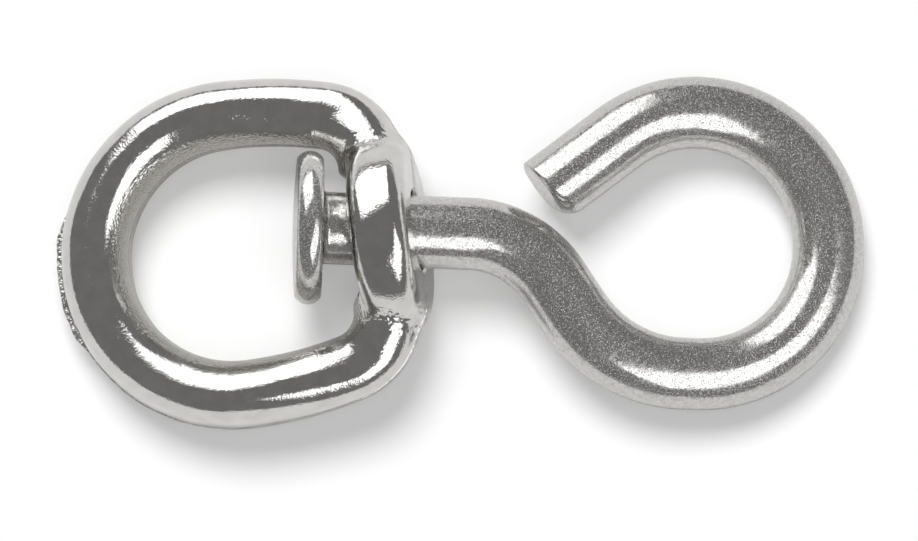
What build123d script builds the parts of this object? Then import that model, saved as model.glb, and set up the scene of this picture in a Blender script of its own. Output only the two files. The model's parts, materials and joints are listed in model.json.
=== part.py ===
"""Eye swivel: a cast bow with a bored hub, and a wire hook whose headed shank turns in that hub."""

import os
from math import acos, asin, atan2, cos, degrees, hypot, radians, sin, tan

from build123d import *

# Driving dimensions, in millimetres and degrees

# Wire hook: straight shank, S bend, open eye centred on the shank, straight tip
wire_d = 5.0
eye_r = 9.2  # centreline of the eye
eye_flat = 1.1  # straight run under the eye, which makes it a little longer than wide
bend_r = 7.2  # centreline of the S bend
link = 2.7  # straight run between the S bend and the eye
shank_free = 3.55  # straight shank beyond the hub
tip_length = 6.3
tip_angle = 128.5  # where the eye runs out into the tip, from the shank's direction
tip_edge_r = 0.2

# Upset head on the inner end of the shank
head_lap = 1.3  # how far the head overhangs the flared bore all round
head_thickness = 2.2
head_crown = 0.2  # how far its face is domed
head_bulge = 0.9  # how far its rim is rounded out
head_cant = 4.0  # upset in place, so it sits a little aslant on the shank
head_gap = 0.35  # least gap between the hub's leaning rim and the head

# Cast hub
hub_d = 13.3
hub_width = 4.1
hub_rim_r = 1.1
bore_play = 0.2  # least gap between the leaning shank and the bore
bore_lip_r = 0.4
root_fillet_r = 0.6

# Cast bow
bow_width = 4.7  # section across the loop's plane
bow_height = 6.8
bow_reach = 20.75  # hub centre to the section's centre at the far end
head_room = 2.14  # from the head's rim to the widest part of the loop
flank_angle = 14.0
corner_r = 4.0
arm_set_back = 0.75  # the arms meet the hub a little to the loop's side of its middle
root_share = 0.3  # of the throat's radius, where the arms end before boring
flash_stand = 0.45  # parting-line flash, thickest at the far end
flash_height = 0.8
flash_angle = 60.0  # how far it runs either way from the far end

# How the loose pair lies: the bow turned aside from the shank, both ends on the floor
bow_yaw = 7.0

# Sizes that follow from these

wire_r = wire_d / 2
hub_r = hub_d / 2
hub_half = hub_width / 2
bow_half_width = bow_width / 2
bow_half_height = bow_height / 2

# The bow leans on the rim of its hub and on the far end of the loop.
corner_drop = hub_r - hub_rim_r
corner_span = bow_reach - hub_half + hub_rim_r
bow_pitch = degrees(
    atan2(corner_drop, corner_span)
    - asin((bow_half_height - hub_rim_r) / hypot(corner_drop, corner_span))
)
lean = radians(bow_pitch)
hub_height = corner_drop * cos(lean) + (hub_half - hub_rim_r) * sin(lean) + hub_rim_r

# The shank passes through the middle of the bore's throat, just inside the hub's outer face.
throat_x = hub_half - bore_lip_r
throat_height = hub_height + throat_x * sin(lean)

# The wire's run: the S bend turns just so far that the eye's centre comes onto the shank's axis.
turn = acos(bend_r / hypot(bend_r + eye_r, link)) - atan2(link, bend_r + eye_r)
bend_angle = degrees(turn)
shank_run = bore_lip_r + shank_free
eye_x = shank_run + (bend_r + eye_r) * sin(turn) + link * cos(turn) + eye_flat

# The hook leans the other way, from the throat to the far side of its eye.
hook_pitch = degrees(asin((throat_height - wire_r) / (eye_x + eye_r)))

# Angle between the shank and the bore, and what has to clear it
skew = acos(
    cos(radians(bow_yaw)) * cos(lean) * cos(radians(hook_pitch))
    - sin(lean) * sin(radians(hook_pitch))
)
throat_r = wire_r / cos(skew) + bore_play
flare_r = throat_r + 2 * throat_x * tan(skew)
mouth_r = flare_r + bore_lip_r
head_r = flare_r + head_lap
head_edge = head_thickness - head_crown
hub_lean = (throat_x + hub_half - hub_rim_r) * cos(skew) + corner_drop * sin(skew) + hub_rim_r
head_seat = hub_lean + head_gap + head_r * sin(radians(head_cant))

# The loop's centreline: far arc, flanks and corners, each tangent to the last
loop_r = head_r + head_room + bow_half_width
flank = radians(flank_angle)
flank_run = bow_reach - loop_r - arm_set_back - corner_r * (1 - sin(flank))
flank_r = flank_run / sin(flank)

# Bow, drawn about the hub's centre with the bore along X and the loop in the XY plane

with BuildPart() as bow:
    with BuildSketch(Plane.XZ):
        Rectangle(hub_width, hub_r, align=(Align.CENTER, Align.MIN))
        fillet(vertices().group_by(Axis.Y)[-1], hub_rim_r)
    revolve(axis=Axis.X)

    with BuildLine() as loop:
        far = JernArc((-bow_reach, 0), (0, 1), loop_r, -90)
        side = JernArc(far @ 1, far % 1, flank_r, -flank_angle)
        corner = JernArc(side @ 1, side % 1, corner_r, flank_angle - 90)
        root = Line(corner @ 1, (-arm_set_back, root_share * throat_r))
        mirror(about=Plane.XZ)
    with BuildSketch(Plane(root @ 1, x_dir=(1, 0, 0), z_dir=root % 1)):
        with BuildLine():
            EllipticalCenterArc((0, 0), bow_half_width, bow_half_height, 180, arc_size=360)
        make_face()
    sweep(path=loop.wire())

    # Blend where the arms run into the hub, clear of the bore
    seams = bow.edges(Select.NEW).filter_by(lambda seam: abs(seam.center().Y) > mouth_r)
    fillet(seams, root_fillet_r)

    # Parting-line flash: a thin crescent round the far end, where the moulds met
    with BuildSketch():
        with BuildLine():
            start = 180 - flash_angle
            back = CenterArc((loop_r - bow_reach, 0), loop_r, start, 2 * flash_angle)
            skin = CenterArc(
                back.arc_center, loop_r + bow_half_width, start, 2 * flash_angle, mode=Mode.PRIVATE
            )
            ThreePointArc(skin @ 0, skin @ 0.5 - (flash_stand, 0), skin @ 1)
            Line(skin @ 0, back @ 0)
            Line(skin @ 1, back @ 1)
        make_face()
    extrude(amount=flash_height / 2, both=True)

    # Bore with rounded lips, flared towards the head so that the shank can lean in it
    with BuildSketch():
        with BuildLine():
            throat_mouth = throat_r + bore_lip_r
            Polyline((-hub_width, 0), (-hub_width, mouth_r), (-hub_half, mouth_r))
            RadiusArc((-hub_half, mouth_r), (-throat_x, flare_r), bore_lip_r)
            Line((-throat_x, flare_r), (throat_x, throat_r))
            RadiusArc((throat_x, throat_r), (hub_half, throat_mouth), bore_lip_r)
            Polyline((hub_half, throat_mouth), (hub_width, throat_mouth), (hub_width, 0), (-hub_width, 0))
        make_face()
    revolve(axis=Axis.X, mode=Mode.SUBTRACT)

# Hook, drawn about the throat's middle with the shank along X and the eye in the XY plane

with BuildPart() as hook:
    with BuildLine() as run:
        shank = Line((-head_seat - head_edge / 2, 0), (shank_run, 0))
        bend = JernArc(shank @ 1, shank % 1, bend_r, -bend_angle)
        bridge = Line(bend @ 1, bend @ 1 + link * (bend % 1))
        lead = JernArc(bridge @ 1, bridge % 1, eye_r, bend_angle)
        flat = Line(lead @ 1, lead @ 1 + eye_flat * (lead % 1))
        eye = JernArc(flat @ 1, flat % 1, eye_r, tip_angle + 90)
        tip = Line(eye @ 1, eye @ 1 + tip_length * (eye % 1))
    with BuildSketch(Plane(shank @ 0, z_dir=shank % 0)):
        Circle(wire_r)
    sweep(path=run.wire())
    end_face = hook.faces().sort_by_distance(tip @ 1)[0]
    fillet(end_face.edges(), tip_edge_r)

    # Upset head, with a rounded rim and a domed face, drawn about the middle of its back
    head_plane = Plane((-head_seat, 0, 0)).rotated((0, -head_cant, 0))
    with BuildSketch(head_plane):
        with BuildLine():
            rim = head_r - head_bulge
            Polyline((-head_thickness, 0), (0, 0), (0, rim))
            ThreePointArc((0, rim), (-head_edge / 2, head_r), (-head_edge, rim))
            TangentArc((-head_thickness, 0), (-head_edge, rim), tangent=(0, 1))
        make_face()
    revolve(axis=Axis(head_plane.origin, head_plane.x_dir))

# Both set down on the floor, the middle of their box over the origin

hub_centre = Location((0, 0, hub_height))
bow_frame = hub_centre * Rotation(0, 0, bow_yaw) * Rotation(0, -bow_pitch, 0)
throat = Location((bow_frame * Pos(throat_x, 0, 0)).position)
hook_frame = throat * Rotation(0, hook_pitch, 0)
box = Compound([bow_frame * bow.part, hook_frame * hook.part]).bounding_box()
set_down = Location((-box.center().X, -box.center().Y, -box.min.Z))

bow.part.location = set_down * bow_frame
bow.part.label = "swivel_bow"
hook.part.location = set_down * hook_frame
hook.part.label = "eye_hook"

os.makedirs("parts", exist_ok=True)
export_step(bow.part, "parts/swivel_bow.step")
export_step(hook.part, "parts/eye_hook.step")
print("shank passes through", (set_down * throat).position)
print("shank runs along", (hook_frame * Plane.XY).x_dir)
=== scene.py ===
"""Eye swivel in bright nickel: a cast bow and a speckled wire hook, on a white floor under soft light."""

import json
from math import acos, atan2, ceil, cos, hypot, pi, radians, sin, sqrt, tan

import bpy
import numpy as np
from mathutils import Matrix, Vector


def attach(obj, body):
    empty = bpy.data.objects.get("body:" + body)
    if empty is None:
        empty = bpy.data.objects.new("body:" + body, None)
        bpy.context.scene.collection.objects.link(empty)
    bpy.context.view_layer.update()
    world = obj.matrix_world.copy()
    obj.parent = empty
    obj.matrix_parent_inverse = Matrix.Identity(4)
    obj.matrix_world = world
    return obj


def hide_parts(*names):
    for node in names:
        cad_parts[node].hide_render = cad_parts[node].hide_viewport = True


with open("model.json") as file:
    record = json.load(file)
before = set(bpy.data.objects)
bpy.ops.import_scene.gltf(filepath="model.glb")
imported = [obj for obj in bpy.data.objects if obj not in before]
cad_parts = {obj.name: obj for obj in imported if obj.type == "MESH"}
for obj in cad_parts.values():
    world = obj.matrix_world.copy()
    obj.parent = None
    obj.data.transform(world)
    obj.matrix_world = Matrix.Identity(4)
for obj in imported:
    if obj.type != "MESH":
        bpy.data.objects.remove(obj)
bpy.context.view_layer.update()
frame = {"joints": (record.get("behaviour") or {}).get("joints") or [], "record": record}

# Driving sizes, in metres and degrees

# Wire hook: straight shank, S bend, open eye, straight tip
WIRE_R = 0.0025
EYE_R = 0.0092  # centreline of the eye
EYE_FLAT = 0.0011  # straight run under the eye
BEND_R = 0.0072  # centreline of the S bend
LINK = 0.0027  # straight run between the S bend and the eye
SHANK_FREE = 0.00355  # straight shank beyond the hub
TIP_LENGTH = 0.0063
TIP_ANGLE = 128.5  # where the eye runs out into the tip, from the shank's direction
TIP_EDGE_R = 0.0002
TIP_ROLL_R = 0.0015  # the cut rolled its edge over on the inner side
TIP_OVER = 0.0003  # and drew it out beyond the solid's end
TIP_LEAN = 4.0  # the cut leans a little out of square

# Upset head on the inner end of the shank
HEAD_LAP = 0.0013  # how far it overhangs the flared bore all round
HEAD_THICKNESS = 0.002
HEAD_CROWN = 0.0002  # how far its face is domed
HEAD_BULGE = 0.0005  # how far its rim is rounded out
HEAD_CANT = 4.0  # it sits aslant on the shank, as in the solid
HEAD_TILT = 2.5  # and this much more
HEAD_GAP = 0.00065  # between the hub's leaning rim and the head, before that tilt
HEAD_ROOT_R = 0.0003  # small fillet between the head and the shank

# Cast hub
HUB_R = 0.00665
HUB_HALF = 0.00205
HUB_RIM_R = 0.0011
HUB_CROWN_R = 0.006  # the rim is a little rounded across
BORE_PLAY = 0.0002  # least gap between the leaning shank and the bore
BORE_LIP_R = 0.0004

# Cast bow
BOW_HALF_WIDTH = 0.00235
BOW_HALF_HEIGHT = 0.0034
BOW_REACH = 0.02075  # hub centre to the section's centre at the far end
HEAD_ROOM = 0.00214  # from the head's rim to the widest part of the loop
FLANK_ANGLE = 14.0
CORNER_R = 0.004
ARM_SET_BACK = 0.00075  # the arms meet the hub a little to the loop's side of its middle
ARM_POWER = 2.0  # the section is an oval in the arms
END_POWER = 2.45  # and boxier at the far end
CREST_SHIFT = 0.00035  # the arms' crests lie a little outside the middle of the section
ROOT_BLEND = 0.0009
ROOT_DIP = 0.0012  # how much lower the arms grow towards the hub
ROOT_RUN = 0.009  # over this run
ROOT_RISE = 0.0003  # and how much they rise again at its foot
FLASH_STAND = 0.00047  # parting-line flash at the far end
FLASH_HALF_HEIGHT = 0.0004
FLASH_ROUND_R = 0.00015
FLASH_BLEND = 0.00012
FLASH_MIDDLE = -2.0  # degrees round from the far end
FLASH_SPREAD = 29.0  # how far it runs either way
FLASH_FADE = 14.0  # over which it fades
THIN_STAND = 0.0001  # it runs out into a thin line on both sides
THIN_SPREAD = 75.0

# Relief of the casting that is large enough for the mesh: width of the lumps, and height
CAST_SWELL = (0.0035, 0.00001)
ROOT_CRUMBLE = (0.0004, 0.000016)
FLASH_CRUMBLE = (0.00045, 0.00001)
FLASH_WAVE = 0.0022  # width of the waves in the flash
FLASH_WAVE_SHARE = 0.12  # of its stand, how high they are
RIPPLE_WAVES = 20
RIPPLE_SHARES = (0.7, 1.4)  # of the stated fineness, between which the waves of a ripple lie
SEEDS = {"flash_wave": 3, "root_crumble": 5, "cast_swell": 7, "flash_crumble": 11}

# Finer relief of the plated skins, for the shaders: width of the lumps, and height
CAST_RELIEF = [(0.0013, 0.000025), (0.00016, 0.000014)]
WIRE_RELIEF = [(0.0016, 0.00003), (0.00016, 0.000006)]
WIRE_SPECKS = (0.00009, 0.000018)
SEAM_HALF = 0.00048  # parting seam all round the loop, with ragged edges
SEAM_FADE = 0.00012
SEAM_GRAIN = (0.0003, 0.0003)
WALL_GRAIN = (0.0002, 0.00016)  # on the inner wall, which is rough from casting
WALL_SHARES = (0.62, 0.85)  # of the section's half width, where the inner wall begins and is full
# Painted shade: the inner wall's darker, warmer colour stands in for the shadowed floor that it reflects
WALL_SHADE_COLOR = (0.56, 0.54, 0.50)
WALL_ROUGHNESS = 0.22

# Colours of the plating, its roughness and how wide their mottling is
CAST_COLORS = [(0.70, 0.69, 0.67), (0.78, 0.765, 0.74)]
CAST_ROUGHNESS = (0.03, 0.09)
CAST_MOTTLE = 0.0011
WIRE_COLORS = [(0.655, 0.645, 0.625), (0.74, 0.73, 0.71)]
WIRE_ROUGHNESS = (0.07, 0.28)
WIRE_MOTTLE = 0.0003

NOISE_DETAIL = 2.0
MOTTLE_DETAIL = 3.0
NOISE_STOPS = (0.35, 0.65)  # noise levels between which colour and roughness change
SPECK_STOPS = (0.58, 0.72)  # only the highest noise makes a speck

# Mesh fineness
NET_STEP = 0.00017
NET_MARGIN_CELLS = 3
NET_PULLS = 4  # how often the net's points are drawn onto the field
LEAST_STEEPNESS = 0.25  # of the field's squared slope, so that no point is thrown far off
FIELD_STEP = 0.00002
RING_STEP = 0.00013
RING_SIDES = 96
HEAD_FACE_RINGS = 24
HEAD_START_SHARE = 0.02  # of the face's radius, where the first ring lies
HEAD_RIM_RINGS = 32
HEAD_BACK_RINGS = 10
HEAD_ROOT_RINGS = 9
TIP_EDGE_RINGS = 16
TIP_FACE_RINGS = 14

# Floor, which glows a little to the camera and in the metal, so that it is white beyond the shadow
FLOOR_HALF = 0.6
FLOOR_COLOR = (0.71, 0.71, 0.71)
FLOOR_GLOW = 0.26
FLOOR_GLOW_IN_METAL = 0.03

# Light: the two suns light the floor, and the two softboxes show in the metal
KEY_LIGHT = {"polar": 21.5, "azimuth": 114.0, "angle": 26.0, "strength": 2.38}
FILL_LIGHT = {"polar": 16.0, "azimuth": -70.0, "angle": 30.0, "strength": 0.54}
BACK_LAMP = {"centre": (-0.0345, 0.0715, 0.062), "size": (0.1, 0.09), "power": 0.05}
FRONT_LAMP = {"centre": (0.0515, -0.045, 0.075), "size": (0.115, 0.06), "power": 0.0375}
LAMP_AIM = (0.0, 0.0, 0.004)
ROOM_COLOR = (0.18, 0.18, 0.18)

# Camera, as the photograph was taken
IMAGE_WIDTH = 918  # pixels
PIXELS_PER_METRE = 14400.0
CAMERA_DISTANCE = 0.7
CAMERA_LEAN = 9.0
CAMERA_ROLL = -0.9
AIM = (-0.00009, -0.00122, 0.004)
SENSOR = 36.0

TINY = 1e-9


def unit(vector):
    """The same direction, one long."""
    vector = np.asarray(vector, float)
    return vector / np.linalg.norm(vector)


def seat(origin, along, normal):
    """A piece's own axes in the shared frame: X along it, Z out of its plane."""
    x_axis = unit(along)
    y_axis = unit(np.cross(normal, x_axis))
    axes = np.column_stack([x_axis, y_axis, np.cross(x_axis, y_axis)])
    return np.asarray(origin, float), axes


# Where the two pieces lie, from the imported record

spin = frame["joints"][0]
mounts = {mount["name"]: mount for mount in frame["record"]["mounts"]}
throat = np.array(spin["pos_m"])
throat_x = HUB_HALF - BORE_LIP_R
bore_way = unit(throat - np.array(mounts["bow_loop"]["pos_m"]))
bow_seat = seat(throat - throat_x * bore_way, bore_way, mounts["bow_loop"]["axis"])
hook_seat = seat(throat, spin["axis"], mounts["wire_eye"]["axis"])

# Sizes that follow from these

skew = acos(bow_seat[1][:, 0] @ hook_seat[1][:, 0])
throat_r = WIRE_R / cos(skew) + BORE_PLAY
flare_r = throat_r + 2 * throat_x * tan(skew)
head_r = flare_r + HEAD_LAP
cant = radians(HEAD_CANT)
# How far the hub's leaning rim reaches towards the head
hub_lean = (throat_x + HUB_HALF - HUB_RIM_R) * cos(skew) + (HUB_R - HUB_RIM_R) * sin(skew) + HUB_RIM_R
head_seat = hub_lean + HEAD_GAP + head_r * sin(cant)
loop_r = head_r + HEAD_ROOM + BOW_HALF_WIDTH
flank = radians(FLANK_ANGLE)
flank_r = (BOW_REACH - loop_r - ARM_SET_BACK - CORNER_R * (1 - sin(flank))) / sin(flank)
# The S bend turns just so far that the eye's centre comes onto the shank's axis
turn = acos(BEND_R / hypot(BEND_R + EYE_R, LINK)) - atan2(LINK, BEND_R + EYE_R)


def ripple(points, width, name):
    """Smooth noise of about unit height, the same on every run."""
    dice = np.random.default_rng(SEEDS[name])
    ways = dice.normal(size=(RIPPLE_WAVES, 3))
    ways /= np.linalg.norm(ways, axis=1, keepdims=True)
    ways *= 2 * pi / width * dice.uniform(*RIPPLE_SHARES, (RIPPLE_WAVES, 1))
    starts = dice.uniform(0, 2 * pi, RIPPLE_WAVES)
    return np.sin(points @ ways.T + starts).sum(-1) / sqrt(RIPPLE_WAVES)


# Cast bow, as a field that is negative inside the metal

far_centre = np.array([loop_r - BOW_REACH, 0.0])
side_centre = np.array([far_centre[0], loop_r - flank_r])
corner_centre = side_centre + (flank_r - CORNER_R) * np.array([sin(flank), cos(flank)])
corner_start = corner_centre[1] + CORNER_R * cos(flank)


def loop_offset(x, y):
    """How far a point lies outside the loop's centreline, in the loop's plane."""
    y = np.abs(y)
    far = np.hypot(x - far_centre[0], y) - loop_r
    side = np.hypot(x - side_centre[0], y - side_centre[1]) - flank_r
    corner = np.hypot(x - corner_centre[0], y - corner_centre[1]) - CORNER_R
    root = x - corner_centre[0] - CORNER_R
    past_side = (x - side_centre[0]) > tan(flank) * (y - side_centre[1])
    arm = np.where(y > corner_centre[1], corner, root)
    return np.where(x < far_centre[0], far, np.where(past_side, arm, side))


def blend(a, b, width):
    """Union of two fields with a soft fillet between them."""
    share = np.clip(0.5 + 0.5 * (b - a) / width, 0, 1)
    return b + (a - b) * share - width * share * (1 - share)


def ease(share):
    """From 0 to 1 without a kink."""
    share = np.clip(share, 0, 1)
    return share**2 * (3 - 2 * share)


def rounded_box(u, v, radius):
    """Field of a box corner with a rounded edge, from its two overshoots."""
    u = u + radius
    v = v + radius
    return np.hypot(np.maximum(u, 0), np.maximum(v, 0)) + np.minimum(np.maximum(u, v), 0) - radius


def oval_loop(offset, x, y, z):
    """Field of the loop's section: boxier at the far end, crested outside and lower along the arms."""
    to_arm = np.minimum(np.abs(y) / loop_r, 1)
    aside = CREST_SHIFT * to_arm
    power = END_POWER + (ARM_POWER - END_POWER) * np.where(x < far_centre[0], ease(to_arm), 1)
    dip = ease((x - corner_centre[0] - CORNER_R / 2) / ROOT_RUN + 1)
    rise = ease((corner_start - np.abs(y)) / (corner_start - HUB_R))
    half_height = BOW_HALF_HEIGHT + dip * (ROOT_RISE * rise - ROOT_DIP)
    offset = offset - aside * (z / half_height) ** 2
    u = np.abs(offset / BOW_HALF_WIDTH) + TINY
    v = np.abs(z / half_height) + TINY
    reach = (u**power + v**power) ** (1 / power)
    across = (u / reach) ** (power - 1) / BOW_HALF_WIDTH
    upward = (v / reach) ** (power - 1) / half_height
    return (reach - 1) / np.hypot(across, upward)


def flash_fin(points, offset, rough):
    """Field of the parting-line flash, a ragged fin round the far end that thins out on both sides."""
    x, y, z = points[..., 0], points[..., 1], points[..., 2]
    angle = np.degrees(np.arctan2(y, far_centre[0] - x))
    stand = FLASH_STAND * ease((FLASH_SPREAD - np.abs(angle - FLASH_MIDDLE)) / FLASH_FADE)
    stand = np.maximum(stand, THIN_STAND * ease((THIN_SPREAD - np.abs(angle)) / FLASH_FADE))
    if rough:
        stand = stand * (1 + FLASH_WAVE_SHARE * ripple(points, FLASH_WAVE, "flash_wave"))
    past_skin = np.abs(offset) - BOW_HALF_WIDTH - stand
    fin = rounded_box(past_skin, np.abs(z) - FLASH_HALF_HEIGHT, FLASH_ROUND_R)
    if rough:
        width, height = FLASH_CRUMBLE
        fin = fin - height * ripple(points, width, "flash_crumble")
    far_away = BOW_REACH
    return np.where(x < far_centre[0], np.maximum(fin, -offset), far_away)


def bow_field(points, rough=True):
    """The casting: oval loop, hub, blends between them, parting-line flash and flared bore."""
    x, y, z = points[..., 0], points[..., 1], points[..., 2]
    offset = loop_offset(x, y)
    loop = oval_loop(offset, x, y, z)
    radius = np.hypot(y, z)
    crown = x**2 / (2 * HUB_CROWN_R)
    wheel = rounded_box(np.abs(x) - HUB_HALF, radius + crown - HUB_R, HUB_RIM_R)
    metal = blend(blend(loop, wheel, ROOT_BLEND), flash_fin(points, offset, rough), FLASH_BLEND)
    if rough:
        width, height = ROOT_CRUMBLE
        near_root = np.exp(-((loop - wheel) / ROOT_BLEND) ** 2)
        metal = metal - height * near_root * ripple(points, width, "root_crumble")
        width, height = CAST_SWELL
        metal = metal - height * ripple(points, width, "cast_swell")
    flare = throat_r + np.maximum(throat_x - x, 0) * tan(skew)
    bore = np.maximum((radius - flare) * cos(skew), np.abs(x) - 2 * HUB_HALF)
    return -blend(-metal, bore, BORE_LIP_R)


def slope_of(field, points):
    """Gradient of a field by central differences."""
    parts = []
    for axis in np.eye(3):
        rise = field(points + FIELD_STEP * axis) - field(points - FIELD_STEP * axis)
        parts.append(rise / (2 * FIELD_STEP))
    return np.stack(parts, axis=-1)


def net_over(field, low, high, step):
    """Quads over the field's zero surface: one point in each cell that it crosses."""
    counts = np.ceil((np.asarray(high) - low) / step).astype(int)
    axes = [low[i] + step * np.arange(counts[i] + 1) for i in range(3)]
    grid = np.stack(np.meshgrid(*axes, indexing="ij"), axis=-1)
    value = field(grid)
    inside = value < 0

    def corner(array, shift):
        return array[tuple(slice(s, array.shape[i] - 1 + s) for i, s in enumerate(shift))]

    shifts = [(a, b, c) for a in (0, 1) for b in (0, 1) for c in (0, 1)]
    held = sum(corner(inside, shift).astype(int) for shift in shifts)
    crossed = (held > 0) & (held < len(shifts))
    number = np.full(crossed.shape, -1)
    number[crossed] = np.arange(crossed.sum())
    total = np.zeros((crossed.sum(), 3))
    hits = np.zeros(crossed.sum())
    for shift in shifts:
        for axis in range(3):
            if shift[axis]:
                continue
            other = tuple(s + (i == axis) for i, s in enumerate(shift))
            a = corner(value, shift)[crossed]
            b = corner(value, other)[crossed]
            cut = (a < 0) != (b < 0)
            place = np.tile(np.array(shift, float), (len(a), 1))
            place[:, axis] = a / np.where(cut, a - b, 1)
            total += np.where(cut[:, None], place, 0)
            hits += cut
    cells = np.argwhere(crossed)
    verts = low + step * (cells + total / hits[:, None])

    quads = []
    for axis in range(3):
        u, v = (axis + 1) % 3, (axis + 2) % 3
        start = [slice(1, -1)] * 3
        start[axis] = slice(0, -1)
        end = list(start)
        end[axis] = slice(1, None)
        a = inside[tuple(start)]
        b = inside[tuple(end)]
        spots = np.argwhere(a != b)
        spots[:, u] += 1
        spots[:, v] += 1
        flip = b[a != b]
        cells_about = []
        for du, dv in ((-1, -1), (0, -1), (0, 0), (-1, 0)):
            cell = spots.copy()
            cell[:, u] += du
            cell[:, v] += dv
            cells_about.append(number[tuple(cell.T)])
        quad = np.stack(cells_about, axis=1)
        quad[flip] = quad[flip][:, ::-1]
        quads.append(quad)
    return verts, np.concatenate(quads).tolist()


def mesh_piece(name, verts, faces, place):
    """A smooth mesh object, seated in the shared frame."""
    origin, axes = place
    mesh = bpy.data.meshes.new(name)
    mesh.from_pydata((verts @ axes.T + origin).tolist(), [], faces)
    mesh.validate()
    mesh.shade_smooth()
    piece = bpy.data.objects.new(name, mesh)
    bpy.context.scene.collection.objects.link(piece)
    return piece


def make_bow():
    """The casting's skin, drawn onto its field."""
    margin = NET_MARGIN_CELLS * NET_STEP
    half_span = loop_r + BOW_HALF_WIDTH
    low = np.array([-BOW_REACH - BOW_HALF_WIDTH - FLASH_STAND, -half_span, -HUB_R]) - margin
    high = np.array([HUB_HALF + BOW_HALF_WIDTH, half_span, HUB_R]) + margin
    verts, quads = net_over(lambda points: bow_field(points, rough=False), low, high, NET_STEP)
    for _ in range(NET_PULLS):
        steep = slope_of(bow_field, verts)
        size = np.maximum((steep**2).sum(1), LEAST_STEEPNESS)
        verts = verts - np.clip(bow_field(verts) / size, -NET_STEP, NET_STEP)[:, None] * steep
    piece = mesh_piece("bow_casting", verts, quads, bow_seat)
    normals = slope_of(bow_field, verts) @ bow_seat[1].T
    normals /= np.linalg.norm(normals, axis=1, keepdims=True)
    piece.data.normals_split_custom_set_from_vertices(normals.tolist())
    # Mask of the inner wall, for its roughness, its grain and its painted shade
    inward = -loop_offset(verts[:, 0], verts[:, 1]) / BOW_HALF_WIDTH
    begins, full = WALL_SHARES
    wall = ease((inward - begins) / (full - begins)) * (verts[:, 0] < -HUB_HALF)
    piece.data.attributes.new("inner_wall", "FLOAT", "POINT").data.foreach_set("value", wall)
    return piece


# Wire hook, ring by ring along its centreline


def wire_path():
    """Centreline of the wire from the head's back to the tip: places and headings."""
    runs = [
        (head_seat + BORE_LIP_R + SHANK_FREE, 0.0),
        (BEND_R * turn, -1 / BEND_R),
        (LINK, 0.0),
        (EYE_R * turn, 1 / EYE_R),
        (EYE_FLAT, 0.0),
        (EYE_R * (radians(TIP_ANGLE) + pi / 2), 1 / EYE_R),
        (TIP_LENGTH, 0.0),
    ]
    x, y, heading = -head_seat, 0.0, 0.0
    places = []
    for length, bend in runs:
        steps = round(length / RING_STEP)
        for i in range(steps):
            part = length / steps
            heading += bend * part / 2
            places.append((x, y, heading - bend * part / 2))
            x += part * cos(heading)
            y += part * sin(heading)
            heading += bend * part / 2
    places.append((x, y, heading))
    return places


def head_profile():
    """The upset head from the middle of its face to its back: place along its axis, and radius."""
    rim = head_r - HEAD_BULGE
    edge = HEAD_THICKNESS - HEAD_CROWN
    dome_r = (rim**2 + HEAD_CROWN**2) / (2 * HEAD_CROWN)
    rings = []
    for share in np.linspace(HEAD_START_SHARE, 1, HEAD_FACE_RINGS, endpoint=False):
        r = share * rim
        rings.append((dome_r - sqrt(dome_r**2 - r**2) - HEAD_THICKNESS, r))
    round_r = ((edge / 2) ** 2 + HEAD_BULGE**2) / (2 * HEAD_BULGE)
    spread = atan2(edge / 2, round_r - HEAD_BULGE)
    for a in np.linspace(-spread, spread, HEAD_RIM_RINGS):
        rings.append((round_r * sin(a) - edge / 2, head_r - round_r + round_r * cos(a)))
    for r in np.linspace(rim, WIRE_R + HEAD_ROOT_R, HEAD_BACK_RINGS)[1:]:
        rings.append((0.0, r))
    return rings


# Angles of a ring's points
around = np.linspace(0, 2 * pi, RING_SIDES, endpoint=False)[:, None]


def ring(centre, heading, lean, radius):
    """Points round the wire, on a plane square to its heading or leaning from that."""
    side = np.array([-sin(heading), cos(heading), 0])
    lift = np.array([-sin(lean) * cos(heading), -sin(lean) * sin(heading), cos(lean)])
    return np.asarray(centre) + radius * (np.cos(around) * side + np.sin(around) * lift)


def head_rings():
    """The head, aslant on the shank, and the small fillet between them."""
    back = np.array([-head_seat, 0, 0])
    tilt = cant + radians(HEAD_TILT)
    axis = np.array([cos(tilt), 0, sin(tilt)])
    rings = [ring(back + x * axis, 0.0, tilt, r) for x, r in head_profile()]
    for share in np.linspace(0, 1, HEAD_ROOT_RINGS)[1:]:
        a = share * pi / 2
        x = HEAD_ROOT_R * (1 - cos(a))
        r = WIRE_R + HEAD_ROOT_R * (1 - sin(a))
        rings.append(ring(back + [x, 0, 0], 0.0, tilt * (1 - share), r))
    return rings


def tip_rings(x, y, heading):
    """The sheared end of the wire, its edge nearly sharp outside and rolled over inside."""
    way = np.array([cos(heading), sin(heading), 0])
    end = np.array([x, y, 0]) + TIP_OVER * way
    roll = TIP_EDGE_R + (TIP_ROLL_R - TIP_EDGE_R) * ((1 + np.cos(around)) / 2) ** 2
    turns = np.linspace(0, pi / 2, TIP_EDGE_RINGS)
    profile = [(roll * (sin(a) - 1), WIRE_R - roll * (1 - cos(a))) for a in turns]
    shares = np.linspace(1, 0, TIP_FACE_RINGS, endpoint=False)[1:]
    profile += [(np.zeros_like(roll), share * (WIRE_R - roll)) for share in shares]
    rings = []
    for back, r in profile:
        points = ring(end + back * way, heading, 0.0, r)
        slant = points[:, 2] * tan(radians(TIP_LEAN))
        rings.append(points + np.outer(slant, way))
    return rings


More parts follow.
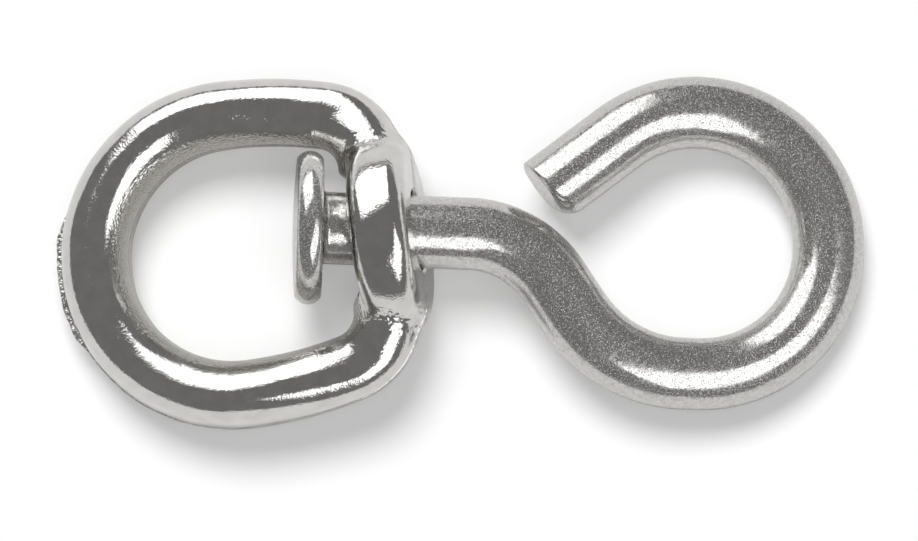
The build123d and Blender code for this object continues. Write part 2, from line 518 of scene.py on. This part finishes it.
def make_hook():
    """The headed wire."""
    rings = head_rings()
    path = wire_path()
    clear = -head_seat + HEAD_ROOT_R + RING_STEP / 2
    cut = ceil((TIP_ROLL_R + WIRE_R * tan(radians(TIP_LEAN))) / RING_STEP)
    rings += [ring([x, y, 0], a, 0.0, WIRE_R) for x, y, a in path[:-cut] if x > clear]
    rings += tip_rings(*path[-1])
    count = len(rings)
    number = np.arange(count * RING_SIDES).reshape(count, RING_SIDES)
    after = np.roll(number, -1, axis=1)
    quads = np.stack([number[:-1], after[:-1], after[1:], number[1:]], axis=-1)
    faces = quads.reshape(-1, 4).tolist()
    faces.append(number[0][::-1].tolist())
    faces.append(number[-1].tolist())
    return mesh_piece("wire_hook", np.concatenate(rings), faces, hook_seat)


# Materials


def node(tree, kind, sockets):
    """A shader node with its sockets set, or linked where a socket is given."""
    made = tree.nodes.new(kind)
    for name, value in sockets.items():
        if isinstance(value, bpy.types.NodeSocket):
            tree.links.new(value, made.inputs[name])
        else:
            made.inputs[name].default_value = value
    return made


def math_node(tree, operation, *values):
    """The result of one sum in a material."""
    made = node(tree, "ShaderNodeMath", dict(enumerate(values)))
    made.operation = operation
    return made.outputs["Value"]


def lumps(tree, where, width, detail=NOISE_DETAIL):
    """Noise with lumps of about the given width."""
    sockets = {"Vector": where, "Scale": 1 / width, "Detail": detail}
    return node(tree, "ShaderNodeTexNoise", sockets).outputs["Fac"]


def between(tree, value, low, high, stops=NOISE_STOPS):
    """Noise stretched from one number to another."""
    sockets = {"Value": value, "From Min": stops[0], "From Max": stops[1], "To Min": low, "To Max": high}
    return node(tree, "ShaderNodeMapRange", sockets).outputs["Result"]


def parts_of(material):
    """A metal's node tree, its shader and the place on the piece."""
    tree = material.node_tree
    return tree, tree.nodes["Principled BSDF"], tree.nodes["Texture Coordinate"].outputs["Object"]


def add_relief(material, height, distance):
    """Relief on top of the relief that the metal already has."""
    tree, shader, _ = parts_of(material)
    sockets = {"Height": height, "Distance": distance}
    for link in shader.inputs["Normal"].links:
        sockets["Normal"] = link.from_socket
    bump = node(tree, "ShaderNodeBump", sockets)
    tree.links.new(bump.outputs["Normal"], shader.inputs["Normal"])


def nickel(name, colors, roughness, mottle, reliefs):
    """Plated metal with mottled colour and roughness, and layers of fine relief."""
    material = bpy.data.materials.new(name)
    material.use_nodes = True
    node(material.node_tree, "ShaderNodeTexCoord", {})
    tree, shader, where = parts_of(material)
    shader.inputs["Metallic"].default_value = 1.0
    spots = lumps(tree, where, mottle, MOTTLE_DETAIL)
    ramp = node(tree, "ShaderNodeValToRGB", {"Fac": spots})
    for stop, place, color in zip(ramp.color_ramp.elements, NOISE_STOPS, colors):
        stop.position = place
        stop.color = (*color, 1)
    tree.links.new(ramp.outputs["Color"], shader.inputs["Base Color"])
    tree.links.new(between(tree, spots, *reversed(roughness)), shader.inputs["Roughness"])
    for width, height in reliefs:
        add_relief(material, lumps(tree, where, width), height)
    return material


def add_wall(material):
    """The inner wall, duller and grainier than the rest, with a darker, warmer colour as painted shade
    for the shadowed floor it reflects.
    """
    tree, shader, where = parts_of(material)
    mark = node(tree, "ShaderNodeAttribute", {})
    mark.attribute_name = "inner_wall"
    wall = mark.outputs["Fac"]
    skin = shader.inputs["Base Color"].links[0].from_socket
    # Painted shade: the inner wall takes a darker, warmer colour for the shadowed floor that it reflects
    color = node(tree, "ShaderNodeMixRGB", {"Fac": wall, "Color1": skin, "Color2": (*WALL_SHADE_COLOR, 1)})
    tree.links.new(color.outputs["Color"], shader.inputs["Base Color"])
    polish = shader.inputs["Roughness"].links[0].from_socket
    dull = node(tree, "ShaderNodeMapRange", {"Value": wall, "To Min": polish, "To Max": WALL_ROUGHNESS})
    tree.links.new(dull.outputs["Result"], shader.inputs["Roughness"])
    width, height = WALL_GRAIN
    add_relief(material, math_node(tree, "MULTIPLY", wall, lumps(tree, where, width)), height)


def add_specks(material):
    """Sparse fine specks, each of which catches the light."""
    tree, _, where = parts_of(material)
    width, height = WIRE_SPECKS
    add_relief(material, between(tree, lumps(tree, where, width), 0.0, 1.0, SPECK_STOPS), height)


def add_seam(material, place):
    """A ragged parting seam where the two moulds met, on the loop's middle plane."""
    tree, _, where = parts_of(material)
    origin, axes = place
    upward = axes[:, 2]
    level = node(tree, "ShaderNodeVectorMath", {0: where, 1: upward.tolist()})
    level.operation = "DOT_PRODUCT"
    rise = math_node(tree, "SUBTRACT", level.outputs["Value"], float(origin @ upward))
    away = math_node(tree, "ABSOLUTE", rise)
    ridge = between(tree, away, 1.0, 0.0, (SEAM_HALF - SEAM_FADE, SEAM_HALF))
    width, height = SEAM_GRAIN
    add_relief(material, math_node(tree, "MULTIPLY", ridge, lumps(tree, where, width)), height)


bow = make_bow()
cast = nickel("cast_nickel", CAST_COLORS, CAST_ROUGHNESS, CAST_MOTTLE, CAST_RELIEF)
add_seam(cast, bow_seat)
add_wall(cast)
bow.data.materials.append(cast)
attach(bow, "bow")
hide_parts("swivel_bow")

hook = make_hook()
drawn = nickel("wire_nickel", WIRE_COLORS, WIRE_ROUGHNESS, WIRE_MOTTLE, WIRE_RELIEF)
add_specks(drawn)
hook.data.materials.append(drawn)
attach(hook, "hook")
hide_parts("eye_hook")

# Floor, light and camera


def make_floor():
    """A white sheet that keeps the object's shadow, and glows a little to the camera and in metal."""
    mesh = bpy.data.meshes.new("floor")
    corners = [(x * FLOOR_HALF, y * FLOOR_HALF, 0) for x, y in ((-1, -1), (1, -1), (1, 1), (-1, 1))]
    mesh.from_pydata(corners, [], [(0, 1, 2, 3)])
    floor = bpy.data.objects.new("floor", mesh)
    bpy.context.scene.collection.objects.link(floor)
    material = bpy.data.materials.new("white_sheet")
    material.use_nodes = True
    tree = material.node_tree
    shader = tree.nodes["Principled BSDF"]
    shader.inputs["Base Color"].default_value = (*FLOOR_COLOR, 1)
    shader.inputs["Roughness"].default_value = 1.0
    shader.inputs["Specular IOR Level"].default_value = 0.0
    shader.inputs["Emission Color"].default_value = (1, 1, 1, 1)
    path = node(tree, "ShaderNodeLightPath", {})
    seen = math_node(tree, "MULTIPLY", path.outputs["Is Camera Ray"], FLOOR_GLOW)
    glow = math_node(tree, "MULTIPLY_ADD", path.outputs["Is Glossy Ray"], FLOOR_GLOW_IN_METAL, seen)
    tree.links.new(glow, shader.inputs["Emission Strength"])
    mesh.materials.append(material)


def softbox(name, centre, size, power):
    """A soft rectangular lamp that faces the object and shows in the metal."""
    lamp = bpy.data.lights.new(name, "AREA")
    lamp.shape = "RECTANGLE"
    lamp.size, lamp.size_y = size
    lamp.energy = power
    body = bpy.data.objects.new(name, lamp)
    body.location = centre
    body.visible_diffuse = False
    body.rotation_euler = (Vector(LAMP_AIM) - Vector(centre)).to_track_quat("-Z", "Y").to_euler()
    bpy.context.scene.collection.objects.link(body)


def soft_sun(name, polar, azimuth, angle, strength):
    """A far soft lamp that lights the floor evenly and throws the shadow."""
    lamp = bpy.data.lights.new(name, "SUN")
    lamp.energy = strength
    lamp.angle = radians(angle)
    tilt, heading = radians(polar), radians(azimuth)
    way = Vector((sin(tilt) * cos(heading), sin(tilt) * sin(heading), cos(tilt)))
    body = bpy.data.objects.new(name, lamp)
    body.rotation_euler = (-way).to_track_quat("-Z", "Y").to_euler()
    body.visible_glossy = False
    bpy.context.scene.collection.objects.link(body)


def make_camera():
    """A long lens that looks down on the object."""
    camera = bpy.data.cameras.new("camera")
    camera.sensor_width = SENSOR
    camera.lens = PIXELS_PER_METRE * CAMERA_DISTANCE / IMAGE_WIDTH * SENSOR
    body = bpy.data.objects.new("camera", camera)
    lean = radians(CAMERA_LEAN)
    back = Vector((0, -sin(lean), cos(lean)))
    turned = (-back).to_track_quat("-Z", "Y").to_matrix() @ Matrix.Rotation(radians(-CAMERA_ROLL), 3, "Z")
    body.matrix_world = Matrix.Translation(Vector(AIM) + CAMERA_DISTANCE * back) @ turned.to_4x4()
    bpy.context.scene.collection.objects.link(body)
    bpy.context.scene.camera = body


make_floor()
soft_sun("key_light", **KEY_LIGHT)
soft_sun("fill_light", **FILL_LIGHT)
softbox("back_softbox", **BACK_LAMP)
softbox("front_softbox", **FRONT_LAMP)
make_camera()

world = bpy.data.worlds.new("studio")
world.use_nodes = True
world.node_tree.nodes["Background"].inputs["Color"].default_value = (*ROOM_COLOR, 1)
bpy.context.scene.world = world
bpy.context.scene.view_settings.view_transform = "Standard"
